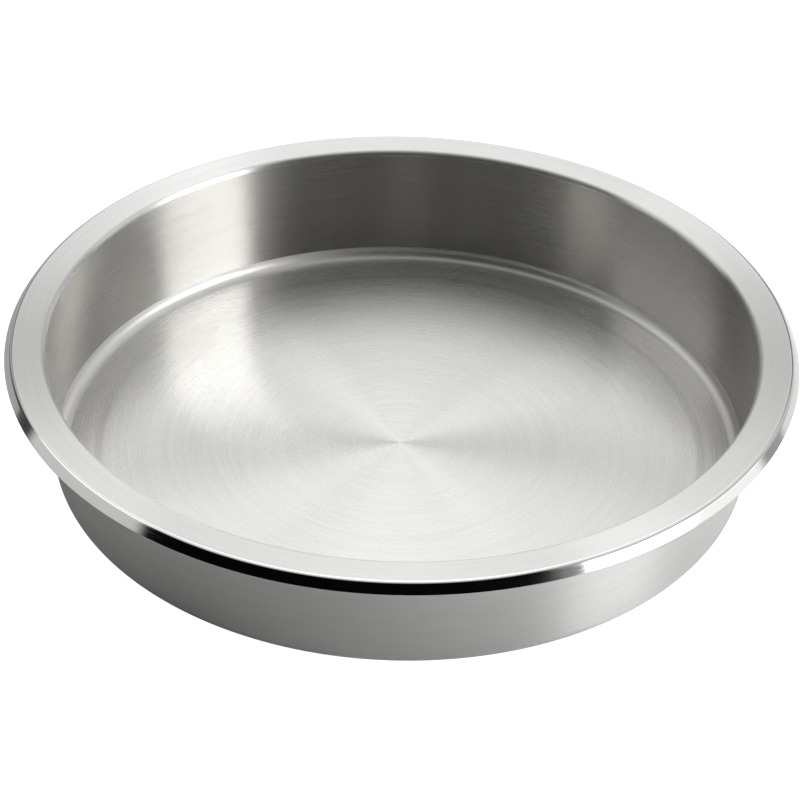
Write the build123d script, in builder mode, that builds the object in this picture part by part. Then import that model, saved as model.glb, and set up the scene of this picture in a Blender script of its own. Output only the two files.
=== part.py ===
from build123d import *

import os
from math import cos, radians, sin, tan

# Round steel food pan: the drop-in insert of a round chafing dish.
#
# The pan is one disc of stainless sheet, drawn into a shallow, nearly straight-sided
# well.  Its mouth is spread into a wide flat flange, and the flange's edge is turned
# down into a short straight lip that slopes outwards.  It has no handle, weld or rivet.
#
# Millimetres, +Z up.  The axis is Z, and the origin is the middle of the ring that
# the pan stands on.

# Overall
OVERALL_DIAMETER = 390.0  # across the lip
OVERALL_HEIGHT = 65.0  # from the standing ring to the top of the flange
SHEET = 1.0  # thickness of the sheet, the same all over

# Well, measured to the sheet's upper skin, where its straight stretches would meet
WELL_FLOOR_RADIUS = 171.5
WELL_MOUTH_RADIUS = 175.0
FLOOR_CORNER = 6.0  # radius between floor and wall
MOUTH_CORNER = 3.0  # radius between wall and flange

# Panel in the middle of the floor, raised so that the pan stands on the ring round it
PANEL_RISE = 0.3
PANEL_RADIUS = 149.0
PANEL_RAMP = 4.0  # width of the slope from the panel down to the ring
PANEL_BLEND = 15.0  # radius at each end of the slope

# Lip, measured to the upper skin
LIP_SLOPE = radians(57.0)  # below level
LIP_DROP = 4.9  # from the flange to the corner of the cut edge
LIP_SHOULDER = 2.5  # radius between flange and lip
CUT_EDGE_BREAK = 0.2  # radius that takes the burr off the sheet's cut edge

# The lip's upper skin would end a little outside the overall radius if its corner
# weren't rounded.
lip_end_radius = OVERALL_DIAMETER / 2 + CUT_EDGE_BREAK * (cos(LIP_SLOPE) + sin(LIP_SLOPE) - 1)
flange_radius = lip_end_radius - LIP_DROP / tan(LIP_SLOPE)

# The upper skin's two ends, and its corners with the radius that rounds each one.
skin_start = (0, SHEET + PANEL_RISE)
skin_corners = [
    ((PANEL_RADIUS, SHEET + PANEL_RISE), PANEL_BLEND),
    ((PANEL_RADIUS + PANEL_RAMP, SHEET), PANEL_BLEND),
    ((WELL_FLOOR_RADIUS, SHEET), FLOOR_CORNER),
    ((WELL_MOUTH_RADIUS, OVERALL_HEIGHT), MOUTH_CORNER),
    ((flange_radius, OVERALL_HEIGHT), LIP_SHOULDER),
]
skin_end = (lip_end_radius, OVERALL_HEIGHT - LIP_DROP)

# The whole pan is the sheet's cross-section, turned once round the axis.
with BuildPart() as food_pan:
    with BuildSketch(Plane.XZ) as section:
        with BuildLine():
            FilletPolyline(
                skin_start,
                *[point for point, radius in skin_corners],
                skin_end,
                radius=[radius for point, radius in skin_corners],
            )
            # The sheet lies below and inside its upper skin.
            offset(amount=SHEET, side=Side.RIGHT)
        make_face()
        # The two corners of the cut edge are the ones nearest the end of the skin.
        cut_edge_corners = section.vertices().sort_by_distance(skin_end)[:2]
        fillet(cut_edge_corners, radius=CUT_EDGE_BREAK)
    revolve(axis=Axis.Z)

food_pan.part.label = "food_pan"

os.makedirs("parts", exist_ok=True)
export_step(food_pan.part, "parts/food_pan.step")
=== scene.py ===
import math

import bpy
from mathutils import Matrix, Vector


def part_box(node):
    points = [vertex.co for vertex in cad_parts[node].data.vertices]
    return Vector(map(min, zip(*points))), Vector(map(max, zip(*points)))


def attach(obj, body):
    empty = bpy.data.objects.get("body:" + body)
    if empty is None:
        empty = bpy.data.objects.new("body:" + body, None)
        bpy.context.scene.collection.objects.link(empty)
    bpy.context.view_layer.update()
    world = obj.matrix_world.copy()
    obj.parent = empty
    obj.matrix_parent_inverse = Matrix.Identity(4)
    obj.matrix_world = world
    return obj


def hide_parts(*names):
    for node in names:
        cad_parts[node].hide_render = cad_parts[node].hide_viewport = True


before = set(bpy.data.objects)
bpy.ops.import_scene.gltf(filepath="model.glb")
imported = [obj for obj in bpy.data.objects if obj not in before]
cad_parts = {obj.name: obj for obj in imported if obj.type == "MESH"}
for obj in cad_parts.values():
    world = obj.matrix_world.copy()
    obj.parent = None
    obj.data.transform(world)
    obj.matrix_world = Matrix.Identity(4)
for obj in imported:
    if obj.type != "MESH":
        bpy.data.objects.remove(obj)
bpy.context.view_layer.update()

# A round food pan of one stainless sheet: brushed floor and wall, satin flange, and a
# polished lip.  Metres, +Z up, the pan's axis is Z, and it stands on z = 0.

MM = 0.001

# ---------------------------------------------------------------------------
# Sizes.  The outside sizes come from the frame, and the rest are the sheet's own.
# ---------------------------------------------------------------------------

pan_low, pan_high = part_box("food_pan")
LIP_RADIUS = pan_high.x
RIM_HEIGHT = pan_high.z
SHEET = 1.0 * MM

WELL_FLOOR_RADIUS = LIP_RADIUS - 23.5 * MM
WELL_MOUTH_RADIUS = LIP_RADIUS - 20.0 * MM
FLOOR_CORNER = 6.0 * MM
MOUTH_CORNER = 3.0 * MM

PANEL_RISE = 0.3 * MM
PANEL_RADIUS = 149.0 * MM
PANEL_RAMP = 4.0 * MM
PANEL_BLEND = 15.0 * MM

LIP_SLOPE = math.radians(57.0)  # below level
LIP_DROP = 4.9 * MM
LIP_SHOULDER = 2.5 * MM
CUT_EDGE_BREAK = 0.2 * MM

# The lip's skin would end a little outside the lip's radius if its corner weren't rounded.
LIP_END = LIP_RADIUS + CUT_EDGE_BREAK * (math.cos(LIP_SLOPE) + math.sin(LIP_SLOPE) - 1)
FLANGE_RADIUS = LIP_END - LIP_DROP / math.tan(LIP_SLOPE)

SEGMENTS = 480  # round the pan
ARC_STEP = math.radians(6)  # turn of one facet in a corner
EDGE_STEP = 30  # degrees turned by one facet of the cut edge's corners
STRAIGHT_STEP = 13 * MM  # longest facet in a straight stretch

# The upper skin's corners, each with the radius that rounds it, the zone of its arc, and
# the zone of the straight stretch that follows it.
ZONES = ("floor", "corner", "wall", "flange", "lip", "outside")
SKIN_START = (0.0, SHEET + PANEL_RISE)
SKIN_CORNERS = (
    (PANEL_RADIUS, SHEET + PANEL_RISE, PANEL_BLEND, "floor", "floor"),
    (PANEL_RADIUS + PANEL_RAMP, SHEET, PANEL_BLEND, "floor", "floor"),
    (WELL_FLOOR_RADIUS, SHEET, FLOOR_CORNER, "corner", "wall"),
    (WELL_MOUTH_RADIUS, RIM_HEIGHT, MOUTH_CORNER, "flange", "flange"),
    (FLANGE_RADIUS, RIM_HEIGHT, LIP_SHOULDER, "lip", "lip"),
)
SKIN_END = (LIP_END, RIM_HEIGHT - LIP_DROP)


# ---------------------------------------------------------------------------
# The sheet's cross-section
# ---------------------------------------------------------------------------


def perp(direction):
    """The direction turned a quarter left: out of the sheet, on its upper side."""
    return Vector((-direction.y, direction.x))


def straight(start, end, zone):
    """Points along a straight stretch, without its end, as (point, normal, zone)."""
    run = end - start
    normal = perp(run.normalized())
    steps = max(1, math.ceil(run.length / STRAIGHT_STEP))
    return [(start + run * (i / steps), normal, zone) for i in range(steps)]


def corner_arc(before, corner, after, radius, zone):
    """The arc that rounds a corner, as its points and the points where it is tangent."""
    into = (corner - before).normalized()
    out = (after - corner).normalized()
    turn = into.angle_signed(out)
    reach = radius * math.tan(abs(turn) / 2)
    start = corner - into * reach
    end = corner + out * reach
    bend = math.copysign(1.0, -turn)  # +1 where the sheet's path turns left
    centre = start + perp(into) * radius * bend
    steps = max(3, math.ceil(abs(turn) / ARC_STEP))
    points = []
    for i in range(steps):
        swing = Matrix.Rotation(-turn * i / steps, 2)
        normal = swing @ perp(into)
        points.append((centre - normal * radius * bend, normal, zone))
    return start, points, end


def upper_skin():
    """The upper skin from the axis to the start of the cut edge."""
    corners = [Vector(c[:2]) for c in SKIN_CORNERS]
    stops = [Vector(SKIN_START), *corners, Vector(SKIN_END)]
    skin = []
    here, zone = stops[0], "floor"
    for i, (_, _, radius, arc_zone, next_zone) in enumerate(SKIN_CORNERS):
        start, arc, end = corner_arc(stops[i], stops[i + 1], stops[i + 2], radius, arc_zone)
        skin += straight(here, start, zone) + arc
        here, zone = end, next_zone
    lip_end = stops[-1] - (stops[-1] - here).normalized() * CUT_EDGE_BREAK
    skin += straight(here, lip_end, zone)
    return skin


def cut_edge(skin):
    """The sheet's cut edge, with both its corners rounded."""
    normal = skin[-1][1]
    along = -perp(normal)  # the way the skin was heading
    end = Vector(SKIN_END)
    points = []
    for inset, first in ((CUT_EDGE_BREAK, normal), (SHEET - CUT_EDGE_BREAK, along)):
        centre = end - normal * inset - along * CUT_EDGE_BREAK
        for i in range(90 // EDGE_STEP + 1):
            facing = Matrix.Rotation(math.radians(-EDGE_STEP * i), 2) @ first
            points.append((centre + facing * CUT_EDGE_BREAK, facing, "lip"))
    return points


def sheet_section():
    """The whole outline, from the axis along the top, round the edge and back below."""
    skin = upper_skin()
    under = [(p - n * SHEET, -n, "outside") for p, n, _ in reversed(skin)]
    return skin + cut_edge(skin) + under


# ---------------------------------------------------------------------------
# The pan's mesh
# ---------------------------------------------------------------------------


def revolve(name, section):
    """Turns the outline round Z into a closed mesh, with smooth normals and a UV map."""
    inner = section[1:-1]
    rings = len(inner)
    verts, normals = [], []
    for point, normal, _ in inner:
        for s in range(SEGMENTS):
            a = math.tau * s / SEGMENTS
            verts.append((point.x * math.cos(a), point.x * math.sin(a), point.y))
            normals.append((normal.x * math.cos(a), normal.x * math.sin(a), normal.y))
    top_pole, bottom_pole = len(verts), len(verts) + 1
    for point, normal, _ in (section[0], section[-1]):
        verts.append((0.0, 0.0, point.y))
        normals.append((0.0, 0.0, normal.y))

    along = [0.0]
    for (p, _, _), (q, _, _) in zip(section, section[1:]):
        along.append(along[-1] + (q - p).length)
    along = [a / along[-1] for a in along]

    faces, uvs, zones = [], [], []
    for s in range(SEGMENTS):
        t = (s + 1) % SEGMENTS
        u, w = s / SEGMENTS, (s + 1) / SEGMENTS
        faces.append((top_pole, s, t))
        uvs += [((u + w) / 2, along[0]), (u, along[1]), (w, along[1])]
        zones.append(section[0][2])
        for k in range(rings - 1):
            a, b = k * SEGMENTS, (k + 1) * SEGMENTS
            faces.append((a + s, b + s, b + t, a + t))
            uvs += [(u, along[k + 1]), (u, along[k + 2]), (w, along[k + 2]), (w, along[k + 1])]
            zones.append(inner[k][2])
        last = (rings - 1) * SEGMENTS
        faces.append((bottom_pole, last + t, last + s))
        uvs += [((u + w) / 2, along[-1]), (w, along[-2]), (u, along[-2])]
        zones.append(section[-1][2])

    mesh = bpy.data.meshes.new(name)
    mesh.from_pydata(verts, [], faces)
    layer = mesh.uv_layers.new(name="round_and_along")
    layer.data.foreach_set("uv", [c for uv in uvs for c in uv])
    mesh.polygons.foreach_set("material_index", [ZONES.index(z) for z in zones])
    mesh.polygons.foreach_set("use_smooth", [True] * len(faces))
    mesh.validate()
    mesh.normals_split_custom_set_from_vertices(normals)
    piece = bpy.data.objects.new(name, mesh)
    bpy.context.scene.collection.objects.link(piece)
    return piece


# ---------------------------------------------------------------------------
# Node helpers
# ---------------------------------------------------------------------------


class Nodes:
    """Short calls that add nodes to a tree.  An input is a socket or a plain value."""

    def __init__(self, tree):
        self.tree = tree
        tree.nodes.clear()

    def add(self, kind, inputs=(), **settings):
        node = self.tree.nodes.new("ShaderNode" + kind)
        for key, value in settings.items():
            setattr(node, key, value)
        for key, value in dict(inputs).items():
            if isinstance(value, bpy.types.NodeSocket):
                self.tree.links.new(value, node.inputs[key])
            else:
                node.inputs[key].default_value = value
        return node

    def math(self, operation, *values):
        node = self.add("Math", enumerate(values), operation=operation)
        return node.outputs[0]

    def smooth(self, value, start, end, low=0.0, high=1.0):
        """A smooth step from low, at start, to high, at end."""
        inputs = {0: value, 1: start, 2: end, 3: low, 4: high}
        node = self.add("MapRange", inputs, interpolation_type="SMOOTHSTEP")
        return node.outputs[0]

    def ramp(self, noise, low, high):
        """Noise, which seldom leaves 0.3 to 0.7, stretched between low and high."""
        return self.add("MapRange", {0: noise, 1: 0.3, 2: 0.7, 3: low, 4: high}).outputs[0]

    def xyz(self, x, y, z):
        return self.add("CombineXYZ", enumerate((x, y, z))).outputs[0]

    def noise(self, vector, scale, detail=2.0, roughness=0.5):
        inputs = {"Vector": vector, "Scale": scale, "Detail": detail, "Roughness": roughness}
        return self.add("TexNoise", inputs).outputs[0]

    def mix_colour(self, factor, first, second):
        node = self.add("Mix", {0: factor, 6: first, 7: second}, data_type="RGBA")
        return node.outputs[2]


class RoundCoordinates(Nodes):
    """Object coordinates of a turned piece: round its axis, and across its rings."""

    def __init__(self, tree):
        super().__init__(tree)
        place = self.add("TexCoord").outputs["Object"]
        x, y, self.z = self.add("SeparateXYZ", {0: place}).outputs[:]
        flat = self.add("VectorMath", {0: self.xyz(x, y, 0.0)}, operation="NORMALIZE")
        self.cos, self.sin, _ = self.add("SeparateXYZ", {0: flat.outputs[0]}).outputs[:]
        squares = self.math("ADD", self.math("MULTIPLY", x, x), self.math("MULTIPLY", y, y))
        self.radius = self.math("SQRT", squares)
        self.across = self.math("ADD", self.radius, self.z)
        self.place = place

    def rings(self, pitch, turns, detail=2.0, roughness=0.6, across=None):
        """Noise drawn out round the axis: pitch across the rings, and turns changes
        in its direction round them."""
        stretch = turns * pitch
        around = (self.math("MULTIPLY", self.cos, stretch), self.math("MULTIPLY", self.sin, stretch))
        vector = self.xyz(*around, self.across if across is None else across)
        return self.noise(vector, 1.0 / pitch, detail, roughness)


# ---------------------------------------------------------------------------
# Steel
# ---------------------------------------------------------------------------

STEEL_LIGHT = (0.70, 0.698, 0.690)
STEEL_DARK = (0.61, 0.608, 0.600)
PLAIN = (1.0, 1.0, 1.0)
WALL_PAINTED_SHADE = (0.80, 0.79, 0.76)  # painted shade: a darker, faintly warmer copy of the sheet's steel for the inner wall
LIP_LIGHT = (0.74, 0.735, 0.725, 1.0)
LIP_DARK = (0.70, 0.695, 0.685, 1.0)

STEEL_CLOUD = 45 * MM  # size of the patches in the brushed steel's roughness
LIP_CLOUD = 12 * MM
GRAIN_DEPTH = 0.001 * MM
BUFFING_DEPTH = 0.002 * MM
FINE_SHARE, LINES_SHARE, BANDS_SHARE = 0.3, 0.45, 0.25  # of the rings in the tone


def brushed_steel(name, roughness, anisotropy, pitch, turns, grain=0.03, shade_tint=PLAIN, film=0.05):
    """Steel brushed round the axis: it blurs across its rings far more than along them.
    Pitch is that of its finest rings, turns sets how short its brush marks are, grain is
    the share by which its roughness varies, shade_tint scales its colour as painted shade
    where it is not plain, and film is the share of dull light that its grooves hold."""
    material = bpy.data.materials.new(name)
    material.use_nodes = True
    g = RoundCoordinates(material.node_tree)
    fine = g.rings(pitch, turns * 2, detail=3.0, roughness=0.65)
    lines = g.rings(pitch * 2.5, turns)
    bands = g.rings(pitch * 9, turns * 0.5)
    clouds = g.noise(g.place, 1 / STEEL_CLOUD)
    fine_tone = g.math("MULTIPLY", fine, FINE_SHARE)
    tone = g.math("ADD", fine_tone, g.math("MULTIPLY", lines, LINES_SHARE))
    tone = g.math("ADD", tone, g.math("MULTIPLY", bands, BANDS_SHARE))
    # shade_tint darkens both tones: painted shade where it is not plain
    dark = [a * b for a, b in zip(STEEL_DARK, shade_tint)] + [1.0]
    light = [a * b for a, b in zip(STEEL_LIGHT, shade_tint)] + [1.0]
    colour = g.mix_colour(g.ramp(tone, 0.0, 1.0), dark, light)
    spread = grain * roughness
    rough_rings = g.ramp(fine, roughness - spread, roughness + spread)
    rough = g.math("ADD", rough_rings, g.ramp(clouds, -0.5 * spread, 0.5 * spread))
    bump = g.add("Bump", {"Strength": 1.0, "Distance": GRAIN_DEPTH, "Height": fine})
    tangent = g.add("Tangent", direction_type="RADIAL", axis="Z")
    inputs = {
        "Base Color": colour,
        "Metallic": 1.0 - film,
        "Roughness": rough,
        "Anisotropic": anisotropy,
        "Anisotropic Rotation": 0.25,
        "Normal": bump.outputs[0],
        "Tangent": tangent.outputs[0],
    }
    shader = g.add("BsdfPrincipled", inputs)
    g.add("OutputMaterial", {"Surface": shader.outputs[0]})
    return material


def polished_steel(name):
    """The lip's buffed steel: a mirror with faint buffing marks along it."""
    material = bpy.data.materials.new(name)
    material.use_nodes = True
    g = RoundCoordinates(material.node_tree)
    marks = g.rings(0.35 * MM, 6.0, across=g.z)
    clouds = g.noise(g.place, 1 / LIP_CLOUD)
    colour = g.mix_colour(marks, LIP_DARK, LIP_LIGHT)
    rough = g.math("ADD", g.ramp(marks, 0.05, 0.11), g.ramp(clouds, -0.015, 0.02))
    bump = g.add("Bump", {"Strength": 1.0, "Distance": BUFFING_DEPTH, "Height": marks})
    inputs = {"Base Color": colour, "Metallic": 1.0, "Roughness": rough, "Normal": bump.outputs[0]}
    shader = g.add("BsdfPrincipled", inputs)
    g.add("OutputMaterial", {"Surface": shader.outputs[0]})
    return material


# ---------------------------------------------------------------------------
# The pan
# ---------------------------------------------------------------------------

pan = revolve("pan_shell", sheet_section())

finishes = {
    "floor": brushed_steel("floor_brushed_steel", 0.275, 1.0, 0.45 * MM, 1.5, film=0.07),
    "corner": brushed_steel("corner_satin_steel", 0.42, 0.3, 0.5 * MM, 3, film=0.15),
    # the wall's colour carries painted shade
    "wall": brushed_steel("wall_brushed_steel", 0.26, 1.0, 0.5 * MM, 2.5, 0.06, WALL_PAINTED_SHADE, 0.0),
    "flange": brushed_steel("flange_satin_steel", 0.31, 1.0, 0.4 * MM, 3),
    "lip": polished_steel("lip_polished_steel"),
    "outside": brushed_steel("outside_satin_steel", 0.35, 0.9, 0.5 * MM, 3),
}
for zone in ZONES:
    pan.data.materials.append(finishes[zone])
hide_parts("food_pan")
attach(pan, "root")


# ---------------------------------------------------------------------------
# Studio: a pale floor, and a room that is bright behind and above the pan, dark
# behind the camera, with a tall softbox on the right and a high panel on the left.
# ---------------------------------------------------------------------------

CAMERA_ELEVATION = math.radians(35.61)
TO_CAMERA = (0.0, -math.cos(CAMERA_ELEVATION), math.sin(CAMERA_ELEVATION))

WHITE = (1.0, 1.0, 1.0, 1.0)
STUDIO_WHITE = (1.0, 1.0, 0.997, 1.0)
# painted shade and light: the floor is grey on its left and pale on its right
FLOOR_SHADED_GREY = (0.60, 0.60, 0.60, 1.0)
FLOOR_LIT_PALE = (0.95, 0.95, 0.95, 1.0)
FLOOR_REACH = 0.9
FLOOR_CORNERS = 96
FLOOR_GAP = 0.05 * MM  # keeps the floor off the pan's base
FLOOR_PAINTED_GLOW = 0.22  # painted glow on the floor's lit right side, as a share
DARK_ROOM = 0.002  # the light behind the camera


def studio_floor():
    """A wide floor disc with a faint mottle, and painted light on its right side: paler there and
    faintly glowing.
    """
    mesh = bpy.data.meshes.new("studio_floor")
    angles = [math.tau * i / FLOOR_CORNERS for i in range(FLOOR_CORNERS)]
    ring = [(FLOOR_REACH * math.cos(a), FLOOR_REACH * math.sin(a), 0.0) for a in angles]
    mesh.from_pydata(ring, [], [tuple(range(FLOOR_CORNERS))])
    floor = bpy.data.objects.new("studio_floor", mesh)
    floor.location.z = pan_low.z - FLOOR_GAP
    bpy.context.scene.collection.objects.link(floor)
    material = bpy.data.materials.new("floor_paint")
    material.use_nodes = True
    g = Nodes(material.node_tree)
    place = g.add("TexCoord").outputs["Object"]
    x = g.add("SeparateXYZ", {0: place}).outputs[0]
    # painted light: the floor turns paler and glows towards +X, as if lit from the right
    painted_lit_right = g.smooth(x, -0.15, 0.25)
    mottle = g.math("MULTIPLY", g.noise(place, 9.0, detail=4.0), 0.1)
    # the painted light plus a random mottle
    shade = g.math("ADD", painted_lit_right, mottle)
    colour = g.mix_colour(shade, FLOOR_SHADED_GREY, FLOOR_LIT_PALE)
    seen = g.add("LightPath").outputs["Is Camera Ray"]  # white to the camera, lights nothing
    # the camera-ray glow is even; the right side's added glow is painted light
    glow = g.math("ADD", seen, g.math("MULTIPLY", painted_lit_right, FLOOR_PAINTED_GLOW))
    inputs = {"Base Color": colour, "Roughness": 0.9, "Emission Color": WHITE}
    shader = g.add("BsdfPrincipled", {**inputs, "Emission Strength": glow})
    g.add("OutputMaterial", {"Surface": shader.outputs[0]})
    floor.data.materials.append(material)


def studio_light():
    """The room's light, by direction.  Each panel is bounded by two measures of the
    direction, both in degrees.  Off_back is the angle round from straight behind the pan,
    and elevation is above the horizon.  Facing and tilt are those of a small mirror on the
    pan that would show that part of the room to the camera: tilt is from level, and facing
    is round from the camera's side towards +X."""
    world = bpy.data.worlds.new("studio")
    world.use_nodes = True
    bpy.context.scene.world = world
    g = Nodes(world.node_tree)
    direction = g.add("TexCoord").outputs["Generated"]
    x, y, z = g.add("SeparateXYZ", {0: direction}).outputs[:]
    elevation = g.math("DEGREES", g.math("ARCSINE", z))
    off_back = g.math("DEGREES", g.math("ARCTAN2", g.math("ABSOLUTE", x), y))
    halfway = g.add("VectorMath", {0: direction, 1: TO_CAMERA}, operation="ADD").outputs[0]
    mirror = g.add("VectorMath", {0: halfway}, operation="NORMALIZE").outputs[0]
    x, y, z = g.add("SeparateXYZ", {0: mirror}).outputs[:]
    facing = g.math("DEGREES", g.math("ARCTAN2", x, g.math("MULTIPLY", y, -1.0)))
    tilt = g.math("DEGREES", g.math("ARCCOSINE", z))
    turned = g.math("ABSOLUTE", facing)

    def panel(strength, *bounds):
        """A bright patch.  Each bound is a measure, its two limits, and its soft edge."""
        shape = strength
        for measure, start, end, soft in bounds:
            rise = g.smooth(measure, start - soft, start + soft)
            fall = g.smooth(measure, end - soft, end + soft, 1.0, 0.0)
            shape = g.math("MULTIPLY", shape, g.math("MULTIPLY", rise, fall))
        return shape

    panels = (
        panel(1.15, (off_back, -20, 12, 7), (elevation, 8, 64, 9)),  # bright strip behind
        panel(0.45, (off_back, -99, 40, 20), (elevation, -19, 22, 8)),  # white sweep behind
        panel(0.97, (tilt, -30, 32, 9), (turned, -40, 79, 25)),  # overhead sheet
        panel(5.6, (facing, 28, 45.5, 1.5), (tilt, 46, 99, 3)),  # softbox on the right
        panel(0.4, (facing, 23, 62, 2), (tilt, 30, 60, 6)),  # its hood
        panel(1.0, (facing, 45.5, 64, 2), (tilt, 44, 61.5, 1)),  # its wing's bright top
        panel(0.08, (facing, 45.5, 66, 2), (tilt, 60, 99, 3)),  # and the wing's dim foot
        panel(0.25, (facing, 66, 100, 3), (tilt, 60, 99, 3)),  # low wall at the far right
        panel(0.6, (facing, 63, 100, 4), (tilt, 30, 60, 6)),  # and the wall above it
        panel(0.72, (facing, -66, -39, 1.5), (tilt, 22, 61.5, 1)),  # high panel on the left
        panel(0.06, (facing, -110, -66, 4), (tilt, 20, 99, 5)),  # dim wall at the far left
    )
    light = DARK_ROOM
    for each in panels:
        light = g.math("ADD", light, each)
    studio = g.add("Background", {"Color": STUDIO_WHITE, "Strength": light})
    backdrop = g.add("Background", {"Color": WHITE, "Strength": 1.0})
    seen = g.add("LightPath").outputs["Is Camera Ray"]  # only the camera sees the backdrop
    both = g.add("MixShader", {0: seen, 1: studio.outputs[0], 2: backdrop.outputs[0]})
    g.add("OutputWorld", {"Surface": both.outputs[0]})


studio_floor()
studio_light()
bpy.context.scene.view_settings.view_transform = "Standard"
bpy.context.scene.cycles.blur_glossy = 0.0


# ---------------------------------------------------------------------------
# Camera: a long lens looking along +Y, well above the pan, rolled a little.
# ---------------------------------------------------------------------------

ROLL = math.radians(1.48)
DISTANCE = 1.6716
LENS_MM = 153.1
AIM = Vector((-0.0005, -0.0177, RIM_HEIGHT - 24.7 * MM))

forward = -Vector(TO_CAMERA)
level = Vector((1.0, 0.0, 0.0))
upright = level.cross(forward)
right = level * math.cos(ROLL) + upright * math.sin(ROLL)
up = upright * math.cos(ROLL) - level * math.sin(ROLL)

camera = bpy.data.objects.new("camera", bpy.data.cameras.new("camera"))
camera.data.lens = LENS_MM
camera.data.clip_end = 50.0
turn = Matrix((right, up, -forward)).transposed().to_4x4()
camera.matrix_world = Matrix.Translation(AIM - forward * DISTANCE) @ turn
bpy.context.scene.collection.objects.link(camera)
bpy.context.scene.camera = camera
